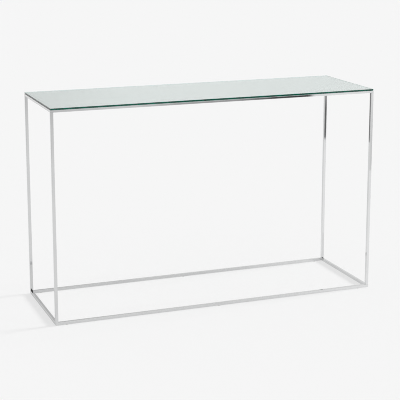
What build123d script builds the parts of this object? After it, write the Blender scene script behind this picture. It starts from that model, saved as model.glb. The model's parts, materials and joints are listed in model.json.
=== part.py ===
"""Console table: two mitred rings of bar, four legs screwed between them, and a loose mirror top.

+X runs along the table, +Y points to its back and +Z up. The origin is on the floor, under the middle of
the top. All sizes are in millimetres.
"""

import os

from build123d import *

# Overall size
length = 1200.0
depth = 380.0
height = 750.0

# Steel bar: square for the legs and the bottom ring, as wide but not as high for the top ring
bar = 10.0
top_bar_height = 8.0
bar_edge_radius = 1.0

# Mirror top: glass, silvering with its paint, and the safety film under it
glass_thickness = 5.0
glass_inset = 0.5
glass_corner_radius = 2.0
glass_arris = 0.6
silver_thickness = 0.1
film_thickness = 0.2
film_inset = 3.0

# Clear bumpers on the top ring, which the mirror rests on
bumper_diameter = 8.0
bumper_height = 0.5
bumper_edge_radius = 0.2
bumper_end_distance = 60.0
bumpers_per_rail = 4

# Countersunk socket screws that hold each leg between the rings
screw_diameter = 4.0
screw_length = 20.0
screw_head_diameter = 7.6
screw_head_rim = 0.4
screw_head_recess = 0.1
screw_socket_across_flats = 2.5
screw_socket_depth = 1.4
screw_hole_clearance = 0.25
screw_seat_clearance = 0.05
thread_clearance = 0.05
tapped_hole_spare = 3.0

# Push-in nylon glides under the bottom ring
glide_diameter = 9.0
glide_height = 1.5
glide_edge_radius = 0.4
glide_stem_diameter = 4.0
glide_stem_length = 5.0
glide_stem_clearance = 0.05
glide_hole_spare = 0.5
glide_end_distance = 40.0

# Heights that follow from the stack of pieces
bottom_ring_z = glide_height
leg_bottom_z = bottom_ring_z + bar
glass_bottom_z = height - glass_thickness
silver_bottom_z = glass_bottom_z - silver_thickness
film_bottom_z = silver_bottom_z - film_thickness
top_ring_top_z = film_bottom_z - bumper_height
leg_top_z = top_ring_top_z - top_bar_height
leg_length = leg_top_z - leg_bottom_z

# Centre lines of the bars
rail_x = length / 2 - bar / 2
rail_y = depth / 2 - bar / 2

ON_FLOOR = (Align.CENTER, Align.CENTER, Align.MIN)


def corners():
    """Name and centre of each leg, seen from the front of the table."""
    return {
        f"{row}_{side}": (x, y)
        for row, y in (("front", -rail_y), ("back", rail_y))
        for side, x in (("left", -rail_x), ("right", rail_x))
    }


def spread(end_distance, count):
    """Evenly spaced places along a long rail, the outer two at end_distance from the table's ends."""
    first = end_distance - length / 2
    step = -2 * first / (count - 1)
    return [first + step * n for n in range(count)]


def countersunk_screw():
    """A socket screw with its head's face at z = 0 and its shank pointing down."""
    head_radius = screw_head_diameter / 2
    shank_radius = screw_diameter / 2
    cone_depth = head_radius - shank_radius
    rim = Cylinder(head_radius, screw_head_rim, align=(Align.CENTER, Align.CENTER, Align.MAX))
    cone = Pos(0, 0, -screw_head_rim) * Cone(
        shank_radius, head_radius, cone_depth, align=(Align.CENTER, Align.CENTER, Align.MAX)
    )
    shank = Cylinder(shank_radius, screw_length, align=(Align.CENTER, Align.CENTER, Align.MAX))
    hexagon = RegularPolygon(screw_socket_across_flats / 2, 6, major_radius=False)
    socket = extrude(hexagon, -screw_socket_depth)
    return rim + cone + shank - socket


def screw_hole(bar_height):
    """The ring's clearance hole and countersink, from the face at z = 0 downwards."""
    seat_radius = screw_head_diameter / 2 + screw_seat_clearance
    hole_radius = screw_diameter / 2 + screw_hole_clearance
    rim_depth = screw_head_recess + screw_head_rim
    cone_depth = seat_radius - hole_radius
    rim = Cylinder(seat_radius, rim_depth, align=(Align.CENTER, Align.CENTER, Align.MAX))
    cone = Pos(0, 0, -rim_depth) * Cone(
        hole_radius, seat_radius, cone_depth, align=(Align.CENTER, Align.CENTER, Align.MAX)
    )
    through = Cylinder(hole_radius, bar_height, align=(Align.CENTER, Align.CENTER, Align.MAX))
    return rim + cone + through


def ring(bottom_z, bar_height):
    """A rectangle of bar with rounded edges, before its mitres are cut."""
    outside = Pos(0, 0, bottom_z) * Box(length, depth, bar_height, align=ON_FLOOR)
    inside = Pos(0, 0, bottom_z) * Box(length - 2 * bar, depth - 2 * bar, bar_height, align=ON_FLOOR)
    frame = outside - inside
    upright_edges = frame.edges().filter_by(Axis.Z)
    inner_corners = upright_edges.filter_by(lambda edge: abs(edge.center().X) < length / 2 - bar / 2)
    rounded = [edge for edge in frame.edges() if edge not in inner_corners]
    return fillet(rounded, bar_edge_radius)


def mitred_rails(frame, level):
    """The ring's four bars, cut apart on the diagonals of its corners."""
    beyond = bar / 2
    outer_x, outer_y = length / 2 + beyond, depth / 2 + beyond
    inner_x, inner_y = outer_x - 2 * bar, outer_y - 2 * bar
    outer = {"left": -outer_x, "right": outer_x, "front": -outer_y, "back": outer_y}
    inner = {"left": -inner_x, "right": inner_x, "front": -inner_y, "back": inner_y}
    rails = {}
    for side in ("front", "back"):
        outline = Polyline(
            (outer["left"], outer[side]),
            (outer["right"], outer[side]),
            (inner["right"], inner[side]),
            (inner["left"], inner[side]),
            close=True,
        )
        rails[f"{level}_{side}_rail"] = frame & extrude(make_face(outline), height)
    for side in ("left", "right"):
        outline = Polyline(
            (outer[side], outer["front"]),
            (inner[side], inner["front"]),
            (inner[side], inner["back"]),
            (outer[side], outer["back"]),
            close=True,
        )
        rails[f"{level}_{side}_rail"] = frame & extrude(make_face(outline), height)
    return rails


def top_rails():
    """Top ring: its countersinks face up, under the mirror."""
    frame = ring(leg_top_z, top_bar_height)
    for x, y in corners().values():
        frame -= Pos(x, y, top_ring_top_z) * screw_hole(top_bar_height)
    return mitred_rails(frame, "top")


def bottom_rails():
    """Bottom ring: its countersinks face the floor, and each glide has a blind hole."""
    frame = ring(bottom_ring_z, bar)
    for x, y in corners().values():
        frame -= Pos(x, y, bottom_ring_z) * Rot(180, 0, 0) * screw_hole(bar)
    hole = Cylinder(
        glide_stem_diameter / 2 + glide_stem_clearance,
        glide_stem_length + glide_hole_spare,
        align=ON_FLOOR,
    )
    for x, y in glide_places().values():
        frame -= Pos(x, y, bottom_ring_z) * hole
    return mitred_rails(frame, "bottom")


def tapped_hole(bar_height):
    """The hole in a leg's end, for a screw that comes through a ring of that height."""
    hole_depth = screw_length + screw_head_recess - bar_height + tapped_hole_spare
    return Cylinder(screw_diameter / 2 + thread_clearance, hole_depth, align=ON_FLOOR)


def leg(x, y):
    """An upright bar with a tapped hole in each end."""
    post = fillet(Box(bar, bar, leg_length, align=ON_FLOOR).edges().filter_by(Axis.Z), bar_edge_radius)
    post -= tapped_hole(bar)
    post -= Pos(0, 0, leg_length) * Rot(180, 0, 0) * tapped_hole(top_bar_height)
    return Pos(x, y, leg_bottom_z) * post


def leg_screws(face_z, facing):
    """The four screws of one ring; facing 0 has the heads up, 180 has them down."""
    into = -screw_head_recess
    return Compound(
        [
            Pos(x, y, face_z) * Rot(facing, 0, 0) * Pos(0, 0, into) * countersunk_screw()
            for x, y in corners().values()
        ]
    )


def glide_places():
    """Name and place of each floor glide, three under each long rail."""
    sides = ("left", "middle", "right")
    return {
        f"{row}_{side}": (x, y)
        for row, y in (("front", -rail_y), ("back", rail_y))
        for side, x in zip(sides, spread(glide_end_distance, len(sides)))
    }


def floor_glide(x, y):
    """A nylon disc that stands on the floor, with its stem in the rail."""
    disc = Cylinder(glide_diameter / 2, glide_height, align=ON_FLOOR)
    foot = disc.edges().sort_by(Axis.Z)[0]
    disc = fillet(foot, glide_edge_radius)
    stem = Pos(0, 0, glide_height) * Cylinder(glide_stem_diameter / 2, glide_stem_length, align=ON_FLOOR)
    return Pos(x, y, 0) * (disc + stem)


def glass_bumpers():
    """Clear discs stuck along the middle of both long top rails."""
    disc = Cylinder(bumper_diameter / 2, bumper_height, align=ON_FLOOR)
    disc = fillet(disc.edges().sort_by(Axis.Z)[-1], bumper_edge_radius)
    return Compound(
        [
            Pos(x, y, top_ring_top_z) * disc
            for y in (-rail_y, rail_y)
            for x in spread(bumper_end_distance, bumpers_per_rail)
        ]
    )


def rounded_sheet(inset, corner_radius, bottom_z, thickness):
    """A flat sheet with rounded corners, set in from the frame's outer faces."""
    outline = RectangleRounded(length - 2 * inset, depth - 2 * inset, corner_radius)
    return Pos(0, 0, bottom_z) * extrude(outline, thickness)


def mirror_glass():
    """The pane, with a ground arris along its upper and lower edges."""
    pane = rounded_sheet(glass_inset, glass_corner_radius, glass_bottom_z, glass_thickness)
    flat_edges = pane.edges().filter_by(lambda edge: abs(edge.bounding_box().size.Z) < glass_arris / 2)
    return chamfer(flat_edges, glass_arris)


def silver_coat():
    """The silvering and its paint, over the flat of the pane's underside."""
    inset = glass_inset + glass_arris
    return rounded_sheet(inset, glass_corner_radius - glass_arris, silver_bottom_z, silver_thickness)


def safety_film():
    """The film that holds the pieces if the mirror breaks."""
    return rounded_sheet(film_inset, glass_corner_radius, film_bottom_z, film_thickness)


def all_nodes():
    """Every piece of the table by its node's name."""
    nodes = {}
    nodes.update(top_rails())
    nodes.update(bottom_rails())
    for name, (x, y) in corners().items():
        nodes[f"{name}_leg"] = leg(x, y)
    nodes["top_leg_screws"] = leg_screws(top_ring_top_z, 0)
    nodes["bottom_leg_screws"] = leg_screws(bottom_ring_z, 180)
    for name, (x, y) in glide_places().items():
        nodes[f"floor_glide_{name}"] = floor_glide(x, y)
    nodes["glass_bumpers"] = glass_bumpers()
    nodes["safety_film"] = safety_film()
    nodes["silver_coat"] = silver_coat()
    nodes["mirror_glass"] = mirror_glass()
    return nodes


os.makedirs("parts", exist_ok=True)
for node, shape in all_nodes().items():
    export_step(shape, f"parts/{node}.step")
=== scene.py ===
"""Console table with a mirror top: finishes, two thin pieces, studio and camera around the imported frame."""

import json
import math
from typing import NamedTuple

import bmesh
import bpy
from mathutils import Matrix, Vector


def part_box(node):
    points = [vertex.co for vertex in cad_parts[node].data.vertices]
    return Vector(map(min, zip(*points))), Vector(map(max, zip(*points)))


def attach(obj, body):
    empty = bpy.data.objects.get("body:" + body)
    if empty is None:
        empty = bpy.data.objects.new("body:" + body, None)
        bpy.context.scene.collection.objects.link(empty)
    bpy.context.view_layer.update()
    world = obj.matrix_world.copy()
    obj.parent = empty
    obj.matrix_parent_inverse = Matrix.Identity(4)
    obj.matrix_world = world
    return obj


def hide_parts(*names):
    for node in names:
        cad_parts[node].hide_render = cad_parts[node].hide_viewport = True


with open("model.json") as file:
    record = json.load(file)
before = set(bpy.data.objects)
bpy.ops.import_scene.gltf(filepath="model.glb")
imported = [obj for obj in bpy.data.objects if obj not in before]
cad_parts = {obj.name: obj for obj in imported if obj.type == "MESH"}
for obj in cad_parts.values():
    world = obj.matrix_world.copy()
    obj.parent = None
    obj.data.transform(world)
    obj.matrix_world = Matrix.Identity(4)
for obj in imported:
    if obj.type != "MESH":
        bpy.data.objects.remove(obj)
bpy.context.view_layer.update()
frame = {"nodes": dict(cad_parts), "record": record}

# Lengths are in metres, scales of noise in cells per metre, and levels of light linear, with white at 1
MM = 0.001

# Camera, as the photograph was taken: from the front left, a little above the top; its lens in millimetres
CAMERA_PLACE = (-1.5432, -4.0381, 1.4141)
CAMERA_YAW = math.radians(-20.894)
CAMERA_PITCH = math.radians(-11.626)
CAMERA_LENS = 109.36
CAMERA_SHIFT_UP = -0.12

# Bounces that light needs to cross the glass from edge to edge
LIGHT_BOUNCES = 48

# Width of the pixel filter, in pixels: narrow, because the photograph is sharp
PIXEL_FILTER = 1.0

# Studio light: what the eye sees behind the table, and what falls on it
BACKDROP = 0.921
SKY_LIGHT = 0.62
SIDE_LIGHT = 4.69
SIDE_LIGHT_HEIGHT = math.radians(21)
SIDE_LIGHT_SPREAD = math.radians(14)

# Floor: its paint, how much of a shadow on it shows, and how far it lies below the glides
FLOOR_PAINT = 0.80
FLOOR_SHADOW = 0.32
FLOOR_SIZE = 60.0
FLOOR_DROP = 0.2 * MM

# Floor as polished surfaces see it. Each ramp gives where it starts and ends, and the level at both
FLOOR_TO_RIGHT = (0.1, 0.5, 0.85, 1.0)
FLOOR_FROM_FRONT_LEFT = (-4.1, -2.6, 0.68, 1.0)
FLOOR_SLANT = 0.6
FLOOR_UNDER_TABLE = (-0.22, 0.24)
FLOOR_UNDER_RIMS = (0.06, 0.06)
FLOOR_UNDER_SHADE = 0.1

# Sky as polished surfaces see it: even, but for one patch. Its ramps run along the X, Y or Z of a direction
SKY_EVEN = 0.877
SKY_PATCH_ACROSS_X = (0.20, 0.30, 0.745, SKY_EVEN)
SKY_PATCH_UPWARD_Z = (0.18, 0.32, 0.0, 1.0)
SKY_PATCH_LOSS_X = (0.25, 0.42, 0.20, 0.04)
SKY_PATCH_REACH_X = (0.0, 0.15, 0.0, 1.0)
SKY_PATCH_REACH_Y = (0.0, 0.2, 0.0, 1.0)
SKY_PATCH_REACH_Z = (0.45, 0.65, 1.0, 0.0)


class Card(NamedTuple):
    """An upright card for polished surfaces to mirror.

    It reaches along X and upwards, and its depth is its place along Y. Its level of light is given at its
    left and right sides, and the width of its soft rims at left and right, and below and above.
    """

    along: tuple
    depth: float
    height: tuple
    level: tuple
    side_rims: tuple = (0.03, 0.03)
    upright_rims: tuple = (0.02, 0.02)


# Cards that give the chrome its dark and grey stripes
CARDS = {
    "grey_card_ahead": Card(
        along=(0.44, 1.30), depth=-2.55, height=(0.22, 0.45), level=(0.48, 0.42), side_rims=(0.28, 0.10)
    ),
    "dark_card_ahead": Card(
        along=(1.02, 1.505), depth=-2.5, height=(0.22, 0.45), level=(0.12, 0.05), side_rims=(0.22, 0.03)
    ),
    "dark_card_right": Card(
        along=(1.006, 1.32),
        depth=-1.0,
        height=(0.241, 0.63),
        level=(0.16, 0.16),
        side_rims=(0.154, 0.03),
        upright_rims=(0.01, 0.235),
    ),
    "dark_card_ahead_left": Card(
        along=(-0.24, -0.07), depth=-1.8, height=(0.58, 0.735), level=(0.05, 0.05)
    ),
    "grey_card_back_left": Card(
        along=(-0.47, -0.23), depth=1.2, height=(0.28, 0.56), level=(0.57, 0.57), side_rims=(0.03, 0.04)
    ),
    "dark_card_back_left": Card(
        along=(-0.97, -0.66), depth=2.3, height=(-0.05, 0.38), level=(0.25, 0.25)
    ),
}

# Four more cards off the corners of the table, so that it has stripes from every side
CORNER_CARD_NEAR = 1.75
CORNER_CARD_FAR = 2.45
CORNER_CARD_DEPTH = 1.5
CORNER_CARD_HEIGHT = (-0.05, 0.50)
CORNER_CARD_LEVEL = (0.20, 0.20)


def feed(tree, socket, value):
    """Puts a number or a colour on a node's input, or links another node's output to it."""
    if isinstance(value, bpy.types.NodeSocket):
        tree.links.new(value, socket)
    else:
        socket.default_value = value


def set_inputs(tree, node, values):
    """Feeds a node's inputs by their names."""
    for name, value in values.items():
        feed(tree, node.inputs[name], value)


def add_math(tree, operation, *values):
    """A Math node; each value, here and in the next functions, is a number or another node's output."""
    node = tree.nodes.new("ShaderNodeMath")
    node.operation = operation
    for socket, value in zip(node.inputs, values):
        feed(tree, socket, value)
    return node.outputs["Value"]


def plus(tree, first, second):
    """The sum of two values."""
    return add_math(tree, "ADD", first, second)


def minus(tree, first, second):
    """The first value less the second."""
    return add_math(tree, "SUBTRACT", first, second)


def times(tree, first, second):
    """The product of two values."""
    return add_math(tree, "MULTIPLY", first, second)


def choose(tree, share, low, high):
    """The low value where the share is nought, the high one where it is one."""
    return plus(tree, times(tree, minus(tree, 1.0, share), low), times(tree, share, high))


def add_ramp(tree, value, start, end, at_start, at_end):
    """A straight ramp between two values, level before and after them."""
    node = tree.nodes.new("ShaderNodeMapRange")
    set_inputs(
        tree,
        node,
        {"Value": value, "From Min": start, "From Max": end, "To Min": at_start, "To Max": at_end},
    )
    return node.outputs["Result"]


def inside_reach(tree, value, low, high, low_rim, high_rim):
    """One between two places, fading to nought over a soft rim at each."""
    rise = add_ramp(tree, value, low, low + low_rim, 0.0, 1.0)
    fall = add_ramp(tree, value, high - high_rim, high, 1.0, 0.0)
    return times(tree, rise, fall)


def mix_colours(tree, share, low, high):
    """The low colour where the share is nought, the high one where it is one."""
    node = tree.nodes.new("ShaderNodeMix")
    node.data_type = "RGBA"
    set_inputs(tree, node, {"Factor": share, "A": low, "B": high})
    return node.outputs["Result"]


def mix_shaders(tree, share, low, high):
    """The low shader where the share is nought, the high one where it is one."""
    node = tree.nodes.new("ShaderNodeMixShader")
    for socket, value in zip(node.inputs, (share, low, high)):
        feed(tree, socket, value)
    return node.outputs["Shader"]


def add_noise(tree, place, scale, detail, roughness):
    """A noise through the solid."""
    node = tree.nodes.new("ShaderNodeTexNoise")
    set_inputs(tree, node, {"Vector": place, "Scale": scale, "Detail": detail, "Roughness": roughness})
    return node.outputs["Fac"]


def add_layered_noise(tree, place, scale, finer, broad_share, broad, fine):
    """A broad noise and one a few times finer over it, each given by its detail and roughness."""
    under = times(tree, add_noise(tree, place, scale, *broad), broad_share)
    over = times(tree, add_noise(tree, place, times(tree, scale, finer), *fine), 1.0 - broad_share)
    return plus(tree, under, over)


def add_bump(tree, shader, height, strength, depth):
    """A bump on the shader's normal."""
    node = tree.nodes.new("ShaderNodeBump")
    set_inputs(tree, node, {"Height": height, "Strength": strength, "Distance": depth})
    feed(tree, shader.inputs["Normal"], node.outputs["Normal"])


def object_place(tree, stretch=(1.0, 1.0, 1.0)):
    """Object coordinates, stretched along each axis."""
    place = tree.nodes.new("ShaderNodeTexCoord")
    mapping = tree.nodes.new("ShaderNodeMapping")
    set_inputs(tree, mapping, {"Vector": place.outputs["Object"], "Scale": stretch})
    return mapping.outputs["Vector"]


def split_place(tree, place):
    """The X, Y and Z of a place or a direction."""
    node = tree.nodes.new("ShaderNodeSeparateXYZ")
    feed(tree, node.inputs["Vector"], place)
    return node.outputs["X"], node.outputs["Y"], node.outputs["Z"]


def new_material(name):
    """An empty node material and its tree."""
    material = bpy.data.materials.new(name)
    material.use_nodes = True
    material.node_tree.nodes.clear()
    return material, material.node_tree


def set_surface(tree, surface):
    """The material's output, which shows the surface."""
    output = tree.nodes.new("ShaderNodeOutputMaterial")
    feed(tree, output.inputs["Surface"], surface)
    return output


def new_finish(name):
    """A material for a piece of the table: itself, its tree, its shader and its output."""
    material, tree = new_material(name)
    shader = tree.nodes.new("ShaderNodeBsdfPrincipled")
    output = set_surface(tree, shader.outputs["BSDF"])
    return material, tree, shader, output


def new_pattern(name, output_name, **values):
    """A node group that draws a pattern on a place: itself, its inputs with these values, and its output."""
    group = bpy.data.node_groups.new(name, "ShaderNodeTree")
    group.interface.new_socket("Place", in_out="INPUT", socket_type="NodeSocketVector")
    for input_name, value in values.items():
        socket = group.interface.new_socket(
            input_name.capitalize(), in_out="INPUT", socket_type="NodeSocketFloat"
        )
        socket.default_value = value
    group.interface.new_socket(output_name, in_out="OUTPUT", socket_type="NodeSocketFloat")
    given = group.nodes.new("NodeGroupInput").outputs
    result = group.nodes.new("NodeGroupOutput").inputs[output_name]
    return group, given, result


def draw_pattern(tree, group, place, **values):
    """The pattern in a material, on this place and with the material's own values."""
    node = tree.nodes.new("ShaderNodeGroup")
    node.node_tree = group
    set_inputs(tree, node, {"Place": place})
    set_inputs(tree, node, {name.capitalize(): value for name, value in values.items()})
    return node.outputs[0]


def make_polishing_lines():
    """Hairlines left by the polishing wheel, on a place already stretched along the bar."""
    group, given, result = new_pattern("Polishing lines", "Lines", fineness=600.0)
    lines = add_layered_noise(
        group,
        given["Place"],
        given["Fineness"],
        finer=3.1,
        broad_share=0.65,
        broad=(3.0, 0.6),
        fine=(2.0, 0.5),
    )
    feed(group, result, lines)
    return group


# Handling marks: the noise that they rise above where the cover is nought, and the rise to full strength
MARK_THRESHOLD = 0.9
MARK_RISE = 0.25


def make_handling_marks():
    """Soft blotches where hands and a cloth have dulled the polish; more cover makes them wider."""
    group, given, result = new_pattern("Handling marks", "Marks", size=12.0, cover=0.5)
    blotches = add_layered_noise(
        group,
        given["Place"],
        given["Size"],
        finer=4.7,
        broad_share=0.7,
        broad=(2.0, 0.5),
        fine=(3.0, 0.6),
    )
    bare = minus(group, 1.0, given["Cover"])
    over = minus(group, blotches, times(group, bare, MARK_THRESHOLD))
    feed(group, result, add_ramp(group, over, 0.0, MARK_RISE, 0.0, 1.0))
    return group


def make_fine_grain():
    """The even, fine grain of a moulded or plated surface."""
    group, given, result = new_pattern("Fine grain", "Grain", fineness=2500.0)
    feed(group, result, add_noise(group, given["Place"], given["Fineness"], detail=4.0, roughness=0.65))
    return group


POLISHING_LINES = make_polishing_lines()
HANDLING_MARKS = make_handling_marks()
FINE_GRAIN = make_fine_grain()

# Lines and grain lie mostly between these two values
NOISE_REACH = (0.3, 0.7)

# Chrome plate. The stretch of a polishing line is its width over its length
CHROME_BRIGHT = (0.735, 0.740, 0.742, 1.0)
CHROME_HANDLED = (0.700, 0.705, 0.710, 1.0)
CHROME_LINE_FINENESS = 700.0
CHROME_LINE_STRETCH = 0.012
CHROME_LINE_ROUGHNESS = (0.025, 0.06)
CHROME_LINE_STRENGTH = 0.03
CHROME_LINE_DEPTH = 0.05 * MM
CHROME_MARK_SIZE = 9.0
CHROME_MARK_COVER = 0.52
CHROME_MARK_ROUGHNESS = 0.035


def chrome_plate(axis):
    """Polished chrome on a bar that runs along X, Y or Z, with its polishing lines along the bar."""
    material, tree, shader, _ = new_finish(f"chrome_plate_along_{'xyz'[axis]}")
    stretch = [1.0, 1.0, 1.0]
    stretch[axis] = CHROME_LINE_STRETCH
    along_bar = object_place(tree, stretch)
    lines = draw_pattern(tree, POLISHING_LINES, along_bar, fineness=CHROME_LINE_FINENESS)
    marks = draw_pattern(
        tree, HANDLING_MARKS, object_place(tree), size=CHROME_MARK_SIZE, cover=CHROME_MARK_COVER
    )
    lined = add_ramp(tree, lines, *NOISE_REACH, *CHROME_LINE_ROUGHNESS)
    values = {
        "Base Color": mix_colours(tree, marks, CHROME_BRIGHT, CHROME_HANDLED),
        "Roughness": plus(tree, lined, times(tree, marks, CHROME_MARK_ROUGHNESS)),
        "Metallic": 1.0,
    }
    set_inputs(tree, shader, values)
    add_bump(tree, shader, lines, CHROME_LINE_STRENGTH, CHROME_LINE_DEPTH)
    return material


# Float glass: clear on its faces, green along its ground edge and through its depth
GLASS_CLEAR = (0.985, 0.995, 0.990, 1.0)
GLASS_WIPED = (0.965, 0.980, 0.972, 1.0)
GLASS_WIPE_SIZE = 5.0
GLASS_WIPE_COVER = 0.45
GLASS_WIPE_ROUGHNESS = 0.012
GLASS_EDGE = (0.11, 0.70, 0.57, 1.0)
GLASS_EDGE_WIDTH = 0.7 * MM
GLASS_DEPTH = (0.15, 0.73, 0.70, 1.0)
GLASS_DEPTH_DENSITY = 15.0
GLASS_REFRACTION = 1.45


def glass_rim(tree, place):
    """One on the rim of the mirror glass, nought on its faces."""
    low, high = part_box("mirror_glass")
    rims = []
    for axis, along in enumerate(split_place(tree, place)[:2]):
        middle = (low[axis] + high[axis]) / 2
        inner = (high[axis] - low[axis]) / 2 - GLASS_EDGE_WIDTH
        out = add_math(tree, "ABSOLUTE", minus(tree, along, middle))
        rims.append(add_math(tree, "GREATER_THAN", out, inner))
    return add_math(tree, "MAXIMUM", *rims)


def float_glass():
    """Clear float glass, green through its depth, with faint wiping marks on its faces."""
    material, tree, shader, output = new_finish("float_glass")
    place = object_place(tree)
    marks = draw_pattern(tree, HANDLING_MARKS, place, size=GLASS_WIPE_SIZE, cover=GLASS_WIPE_COVER)
    face = mix_colours(tree, marks, GLASS_CLEAR, GLASS_WIPED)
    values = {
        "Base Color": mix_colours(tree, glass_rim(tree, place), face, GLASS_EDGE),
        "Roughness": times(tree, marks, GLASS_WIPE_ROUGHNESS),
        "Metallic": 0.0,
        "IOR": GLASS_REFRACTION,
        "Transmission Weight": 1.0,
    }
    set_inputs(tree, shader, values)
    depth_tint = tree.nodes.new("ShaderNodeVolumeAbsorption")
    set_inputs(tree, depth_tint, {"Color": GLASS_DEPTH, "Density": GLASS_DEPTH_DENSITY})
    feed(tree, output.inputs["Volume"], depth_tint.outputs["Volume"])
    return material


# Silvering, and the grey paint that seals its back and edges
SILVER_BRIGHT = (0.934, 0.893, 0.882, 1.0)
SILVER_UNEVEN = (0.918, 0.879, 0.868, 1.0)
SILVER_UNEVEN_SIZE = 3.0
SILVER_UNEVEN_ROUGHNESS = 0.01
PAINT_DARK = (0.17, 0.18, 0.18, 1.0)
PAINT_LIGHT = (0.25, 0.26, 0.26, 1.0)
PAINT_GRAIN_FINENESS = 700.0
PAINT_ROUGHNESS = (0.5, 0.7)


def silvering():
    """Bright silver against the glass, a touch uneven as poured silver is, under a coat of grey paint."""
    material, tree, shader, _ = new_finish("silvering")
    place = object_place(tree)
    marks = draw_pattern(tree, HANDLING_MARKS, place, size=SILVER_UNEVEN_SIZE)
    grain = draw_pattern(tree, FINE_GRAIN, place, fineness=PAINT_GRAIN_FINENESS)
    up = split_place(tree, place)[2]
    against_glass = add_math(tree, "GREATER_THAN", up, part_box("silver_coat")[1].z)
    silver = mix_colours(tree, marks, SILVER_BRIGHT, SILVER_UNEVEN)
    paint = mix_colours(tree, grain, PAINT_DARK, PAINT_LIGHT)
    dull = add_ramp(tree, grain, *NOISE_REACH, *PAINT_ROUGHNESS)
    polish = times(tree, marks, SILVER_UNEVEN_ROUGHNESS)
    values = {
        "Base Color": mix_colours(tree, against_glass, paint, silver),
        "Roughness": choose(tree, against_glass, dull, polish),
        "Metallic": against_glass,
    }
    set_inputs(tree, shader, values)
    return material


# Safety film, with the weave of its backing
FILM_DARK = (0.36, 0.38, 0.39, 1.0)
FILM_LIGHT = (0.52, 0.54, 0.55, 1.0)
FILM_THREADS = {"Scale": 130.0, "Distortion": 0.6, "Detail Scale": 0.4}
FILM_GRAIN_FINENESS = 900.0
FILM_ROUGHNESS = (0.42, 0.62)
FILM_WEAVE_STRENGTH = 0.3
FILM_WEAVE_DEPTH = 0.05 * MM


def woven_film():
    """Grey safety film with the faint weave of its backing."""
    material, tree, shader, _ = new_finish("woven_safety_film")
    place = object_place(tree)
    threads = []
    for direction in ("X", "Y"):
        wave = tree.nodes.new("ShaderNodeTexWave")
        wave.bands_direction = direction
        set_inputs(tree, wave, {"Vector": place, **FILM_THREADS})
        threads.append(wave.outputs["Fac"])
    weave = add_math(tree, "MAXIMUM", *threads)
    grain = draw_pattern(tree, FINE_GRAIN, place, fineness=FILM_GRAIN_FINENESS)
    values = {
        "Base Color": mix_colours(tree, times(tree, weave, grain), FILM_DARK, FILM_LIGHT),
        "Roughness": add_ramp(tree, grain, *NOISE_REACH, *FILM_ROUGHNESS),
    }
    set_inputs(tree, shader, values)
    add_bump(tree, shader, weave, FILM_WEAVE_STRENGTH, FILM_WEAVE_DEPTH)
    return material


# Nylon of the glides
NYLON_CLEAN = (0.82, 0.82, 0.80, 1.0)
NYLON_SCUFFED = (0.72, 0.71, 0.68, 1.0)
NYLON_SCUFF_SIZE = 380.0
NYLON_GRAIN_FINENESS = 2600.0
NYLON_ROUGHNESS = (0.36, 0.52)
NYLON_GRAIN_STRENGTH = 0.15
NYLON_GRAIN_DEPTH = 0.03 * MM


def moulded_nylon():
    """Off-white nylon, grained by the mould and scuffed where it slides."""
    material, tree, shader, _ = new_finish("moulded_nylon")
    place = object_place(tree)
    grain = draw_pattern(tree, FINE_GRAIN, place, fineness=NYLON_GRAIN_FINENESS)
    scuffs = draw_pattern(tree, HANDLING_MARKS, place, size=NYLON_SCUFF_SIZE)
    values = {
        "Base Color": mix_colours(tree, scuffs, NYLON_CLEAN, NYLON_SCUFFED),
        "Roughness": add_ramp(tree, grain, *NOISE_REACH, *NYLON_ROUGHNESS),
    }
    set_inputs(tree, shader, values)
    add_bump(tree, shader, grain, NYLON_GRAIN_STRENGTH, NYLON_GRAIN_DEPTH)
    return material


# Soft plastic of the bumpers
BUMPER_CLEAR = (0.90, 0.92, 0.92, 1.0)
BUMPER_CLOUDY = (0.82, 0.85, 0.85, 1.0)
BUMPER_CLOUD_SIZE = 260.0
BUMPER_ROUGHNESS = (0.12, 0.25)
BUMPER_REFRACTION = 1.48
BUMPER_CLEARNESS = 0.8


def clear_polyurethane():
    """Soft clear plastic, a little cloudy."""
    material, tree, shader, _ = new_finish("clear_polyurethane")
    clouds = draw_pattern(tree, HANDLING_MARKS, object_place(tree), size=BUMPER_CLOUD_SIZE)
    values = {
        "Base Color": mix_colours(tree, clouds, BUMPER_CLEAR, BUMPER_CLOUDY),
        "Roughness": add_ramp(tree, clouds, 0.0, 1.0, *BUMPER_ROUGHNESS),
        "IOR": BUMPER_REFRACTION,
        "Transmission Weight": BUMPER_CLEARNESS,
    }
    set_inputs(tree, shader, values)
    return material


# Zinc of the leg screws
ZINC_BRIGHT = (0.47, 0.48, 0.50, 1.0)
ZINC_STAINED = (0.38, 0.38, 0.37, 1.0)
ZINC_STAIN_SIZE = 300.0
ZINC_GRAIN_FINENESS = 1800.0
ZINC_ROUGHNESS = (0.24, 0.42)
ZINC_GRAIN_STRENGTH = 0.1
ZINC_GRAIN_DEPTH = 0.02 * MM


def zinc_plate():
    """Bright zinc on the hidden screws, with the grain of the plating bath."""
    material, tree, shader, _ = new_finish("zinc_plate")
    place = object_place(tree)
    grain = draw_pattern(tree, FINE_GRAIN, place, fineness=ZINC_GRAIN_FINENESS)
    stains = draw_pattern(tree, HANDLING_MARKS, place, size=ZINC_STAIN_SIZE)
    values = {
        "Base Color": mix_colours(tree, stains, ZINC_BRIGHT, ZINC_STAINED),
        "Roughness": add_ramp(tree, grain, *NOISE_REACH, *ZINC_ROUGHNESS),
        "Metallic": 1.0,
    }
    set_inputs(tree, shader, values)
    add_bump(tree, shader, grain, ZINC_GRAIN_STRENGTH, ZINC_GRAIN_DEPTH)
    return material


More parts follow.
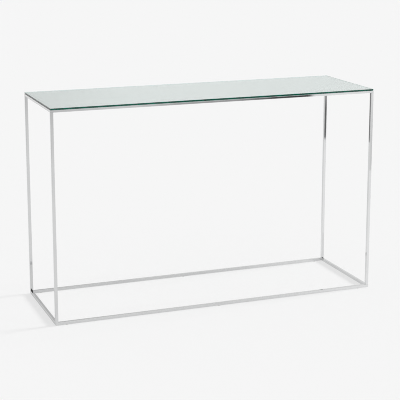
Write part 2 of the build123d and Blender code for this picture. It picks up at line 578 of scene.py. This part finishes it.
def finish_cad_nodes():
    """Gives each CAD node the finish of its slot, and returns the finishes by slot."""
    bars = [chrome_plate(axis) for axis in range(3)]
    by_slot = {
        "screw_steel": zinc_plate(),
        "white_nylon": moulded_nylon(),
        "clear_polyurethane": clear_polyurethane(),
        "green_edge_glass": float_glass(),
        "mirror_silver": silvering(),
        "grey_film": woven_film(),
    }
    for entry in frame["record"]["subparts"]:
        node, slot = entry["node"], entry["material_slot"]
        if slot == "chrome_steel":
            low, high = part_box(node)
            size = list(high - low)
            finish = bars[size.index(max(size))]
        else:
            finish = by_slot[slot]
        for material_slot in frame["nodes"][node].material_slots:
            material_slot.material = finish
    return by_slot


def mesh_piece(name, shape, material, crease=None):
    """An object at the origin from a finished bmesh, smooth where its faces meet at less than the crease."""
    mesh = bpy.data.meshes.new(name)
    shape.to_mesh(mesh)
    shape.free()
    mesh.materials.append(material)
    piece = bpy.data.objects.new(name, mesh)
    bpy.context.scene.collection.objects.link(piece)
    if crease is not None:
        for face in mesh.polygons:
            face.use_smooth = True
        mesh.set_sharp_from_angle(angle=crease)
    return piece


# Silvering: it reaches a hair into the glass, so that nothing shows between them
SILVER_INTO_GLASS = 0.03 * MM
SILVER_CORNER = 1.4 * MM
SILVER_CORNER_STEPS = 4


def is_upright(edge):
    """Whether an edge of the sheet runs from its underside to its upper face."""
    first, second = edge.verts
    return first.co.z != second.co.z


def add_silver_coat(material):
    """The silvering: a thin sheet with rounded corners."""
    low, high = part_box("silver_coat")
    high.z += SILVER_INTO_GLASS
    shape = bmesh.new()
    bmesh.ops.create_cube(shape, size=1.0)
    bmesh.ops.scale(shape, vec=high - low, verts=shape.verts)
    bmesh.ops.translate(shape, vec=(low + high) / 2, verts=shape.verts)
    bmesh.ops.bevel(
        shape,
        geom=[edge for edge in shape.edges if is_upright(edge)],
        offset=SILVER_CORNER,
        segments=SILVER_CORNER_STEPS,
        profile=0.5,
        affect="EDGES",
        material=-1,
    )
    piece = mesh_piece("silver_coat_sheet", shape, material)
    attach(piece, "mirror_top")
    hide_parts("silver_coat")


# Bumpers: soft domes pressed flat by the mirror, their profile in shares of a disc's radius and height
BUMPERS_PER_RAIL = 4
BUMPER_STEPS = 40
BUMPER_PROFILE = ((0.0, 0.0), (0.93, 0.0), (1.0, 0.14), (0.99, 0.45), (0.93, 0.78), (0.80, 1.0), (0.0, 1.0))
BUMPER_CREASE = math.radians(40)
MERGE_DISTANCE = 0.005 * MM


def turn_dome(shape, foot, radius, tall):
    """Adds one dome to the shape, turned from its profile about an upright axis through its foot."""
    profile = [
        shape.verts.new(foot + Vector((out * radius, 0.0, up * tall))) for out, up in BUMPER_PROFILE
    ]
    outline = [shape.edges.new(pair) for pair in zip(profile, profile[1:])]
    bmesh.ops.spin(
        shape,
        geom=profile + outline,
        cent=foot,
        axis=(0, 0, 1),
        angle=2 * math.pi,
        steps=BUMPER_STEPS,
        use_merge=True,
    )


def add_bumpers(material):
    """Clear domes along both long top rails, each where a solid disc sits."""
    low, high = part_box("glass_bumpers")
    shape = bmesh.new()
    for rail in ("top_front_rail", "top_back_rail"):
        rail_low, rail_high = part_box(rail)
        middle = (rail_low.y + rail_high.y) / 2
        radius = min(abs(middle - low.y), abs(high.y - middle))
        first, last = low.x + radius, high.x - radius
        for number in range(BUMPERS_PER_RAIL):
            along = first + (last - first) * number / (BUMPERS_PER_RAIL - 1)
            turn_dome(shape, Vector((along, middle, low.z)), radius, high.z - low.z)
    bmesh.ops.remove_doubles(shape, verts=shape.verts, dist=MERGE_DISTANCE)
    bmesh.ops.recalc_face_normals(shape, faces=shape.faces)
    piece = mesh_piece("bumper_domes", shape, material, BUMPER_CREASE)
    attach(piece, "frame")
    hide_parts("glass_bumpers")


def floor_mirrored(tree):
    """The floor's level when mirrored: dimmer to the left, far to the front left, and under the table."""
    x, y, _ = split_place(tree, object_place(tree))
    to_right = add_ramp(tree, x, *FLOOR_TO_RIGHT)
    slanted = plus(tree, y, times(tree, x, FLOOR_SLANT))
    open_floor = times(tree, to_right, add_ramp(tree, slanted, *FLOOR_FROM_FRONT_LEFT))
    under_table = inside_reach(tree, y, *FLOOR_UNDER_TABLE, *FLOOR_UNDER_RIMS)
    return times(tree, open_floor, minus(tree, 1.0, times(tree, under_table, FLOOR_UNDER_SHADE)))


def floor_paint():
    """Pale paint with a light shadow, which can be seen through from below."""
    material, tree = new_material("studio_floor")
    path = tree.nodes.new("ShaderNodeLightPath").outputs
    level = choose(tree, path["Is Glossy Ray"], BACKDROP, floor_mirrored(tree))
    paint = tree.nodes.new("ShaderNodeBsdfDiffuse")
    feed(tree, paint.inputs["Color"], times(tree, level, FLOOR_PAINT / BACKDROP))
    glow = tree.nodes.new("ShaderNodeEmission")
    feed(tree, glow.inputs["Strength"], level)
    seen = add_math(tree, "MAXIMUM", path["Is Camera Ray"], path["Is Glossy Ray"])
    unshaded = times(tree, seen, 1.0 - FLOOR_SHADOW)
    from_above = mix_shaders(tree, unshaded, paint.outputs["BSDF"], glow.outputs["Emission"])
    side = tree.nodes.new("ShaderNodeNewGeometry").outputs
    clear = tree.nodes.new("ShaderNodeBsdfTransparent").outputs
    set_surface(tree, mix_shaders(tree, side["Backfacing"], from_above, clear["BSDF"]))
    return material


def add_floor():
    """A pale floor that runs out of sight."""
    shape = bmesh.new()
    bmesh.ops.create_grid(shape, x_segments=1, y_segments=1, size=FLOOR_SIZE / 2)
    bmesh.ops.translate(shape, vec=(0, 0, -FLOOR_DROP), verts=shape.verts)
    mesh_piece("studio_floor", shape, floor_paint())


def card_face(name, card):
    """A card's even or graded light, fading out over its rims."""
    material, tree = new_material(name)
    x, _, z = split_place(tree, object_place(tree))
    light = tree.nodes.new("ShaderNodeEmission")
    feed(tree, light.inputs["Strength"], add_ramp(tree, x, *card.along, *card.level))
    across = inside_reach(tree, x, *card.along, *card.side_rims)
    upward = inside_reach(tree, z, *card.height, *card.upright_rims)
    clear = tree.nodes.new("ShaderNodeBsdfTransparent").outputs
    shown = times(tree, across, upward)
    set_surface(tree, mix_shaders(tree, shown, clear["BSDF"], light.outputs["Emission"]))
    return material


def add_card(name, card):
    """An upright card that only polished surfaces see."""
    left, right = card.along
    low, high = card.height
    shape = bmesh.new()
    bmesh.ops.create_grid(shape, x_segments=1, y_segments=1, size=0.5)
    bmesh.ops.rotate(shape, verts=shape.verts, matrix=Matrix.Rotation(math.pi / 2, 3, "X"))
    bmesh.ops.scale(shape, vec=(right - left, 1.0, high - low), verts=shape.verts)
    bmesh.ops.translate(shape, vec=((left + right) / 2, card.depth, (low + high) / 2), verts=shape.verts)
    piece = mesh_piece(name, shape, card_face(name, card))
    piece.visible_camera = False
    piece.visible_diffuse = False
    piece.visible_transmission = False
    piece.visible_shadow = False


def add_cards():
    """The cards that make the photograph's stripes, and one off each corner of the table."""
    for name, card in CARDS.items():
        add_card(name, card)
    sides = {
        "left": (-CORNER_CARD_FAR, -CORNER_CARD_NEAR),
        "right": (CORNER_CARD_NEAR, CORNER_CARD_FAR),
    }
    rows = {"front": -CORNER_CARD_DEPTH, "back": CORNER_CARD_DEPTH}
    for side, along in sides.items():
        for row, depth in rows.items():
            card = Card(along, depth, CORNER_CARD_HEIGHT, CORNER_CARD_LEVEL)
            add_card(f"dark_card_{row}_{side}_corner", card)


def sky_mirrored(tree):
    """The sky's level when mirrored: even, but for a dimmer patch low at the back right."""
    place = tree.nodes.new("ShaderNodeTexCoord")
    x, y, z = split_place(tree, place.outputs["Generated"])
    loss = times(tree, add_ramp(tree, z, *SKY_PATCH_UPWARD_Z), add_ramp(tree, x, *SKY_PATCH_LOSS_X))
    dimmer = times(tree, add_ramp(tree, x, *SKY_PATCH_ACROSS_X), minus(tree, 1.0, loss))
    back_right = times(tree, add_ramp(tree, x, *SKY_PATCH_REACH_X), add_ramp(tree, y, *SKY_PATCH_REACH_Y))
    patch = times(tree, back_right, add_ramp(tree, z, *SKY_PATCH_REACH_Z))
    return choose(tree, patch, SKY_EVEN, dimmer)


def add_world():
    """White to the eye, an even light on the table, and the sky that polished surfaces mirror."""
    world = bpy.data.worlds.new("studio")
    bpy.context.scene.world = world
    world.use_nodes = True
    tree = world.node_tree
    tree.nodes.clear()
    path = tree.nodes.new("ShaderNodeLightPath").outputs
    around = choose(tree, path["Is Glossy Ray"], SKY_LIGHT, sky_mirrored(tree))
    light = tree.nodes.new("ShaderNodeBackground")
    level = choose(tree, path["Is Camera Ray"], around, BACKDROP)
    set_inputs(tree, light, {"Color": (1.0, 1.0, 1.0, 1.0), "Strength": level})
    output = tree.nodes.new("ShaderNodeOutputWorld")
    feed(tree, output.inputs["Surface"], light.outputs["Background"])


def add_side_light():
    """One broad, soft light from the right."""
    lamp = bpy.data.lights.new("side_light", "SUN")
    lamp.energy = SIDE_LIGHT
    lamp.angle = SIDE_LIGHT_SPREAD
    light = bpy.data.objects.new("side_light", lamp)
    light.rotation_euler = (0.0, math.pi / 2 - SIDE_LIGHT_HEIGHT, 0.0)
    light.visible_glossy = False
    bpy.context.scene.collection.objects.link(light)


def add_camera():
    """The photograph's camera."""
    camera_data = bpy.data.cameras.new("camera")
    camera_data.lens = CAMERA_LENS
    camera_data.shift_y = CAMERA_SHIFT_UP
    camera = bpy.data.objects.new("camera", camera_data)
    camera.location = CAMERA_PLACE
    camera.rotation_euler = (math.pi / 2 + CAMERA_PITCH, 0.0, CAMERA_YAW)
    bpy.context.scene.collection.objects.link(camera)
    bpy.context.scene.camera = camera


def set_picture():
    """Light that crosses the length of the glass, sharp pixels and plain colours."""
    scene = bpy.context.scene
    scene.cycles.max_bounces = LIGHT_BOUNCES
    scene.cycles.glossy_bounces = LIGHT_BOUNCES
    scene.cycles.transmission_bounces = LIGHT_BOUNCES
    scene.cycles.filter_width = PIXEL_FILTER
    scene.view_settings.view_transform = "Standard"


finishes = finish_cad_nodes()
add_silver_coat(finishes["mirror_silver"])
add_bumpers(finishes["clear_polyurethane"])
add_floor()
add_cards()
add_world()
add_side_light()
add_camera()
set_picture()
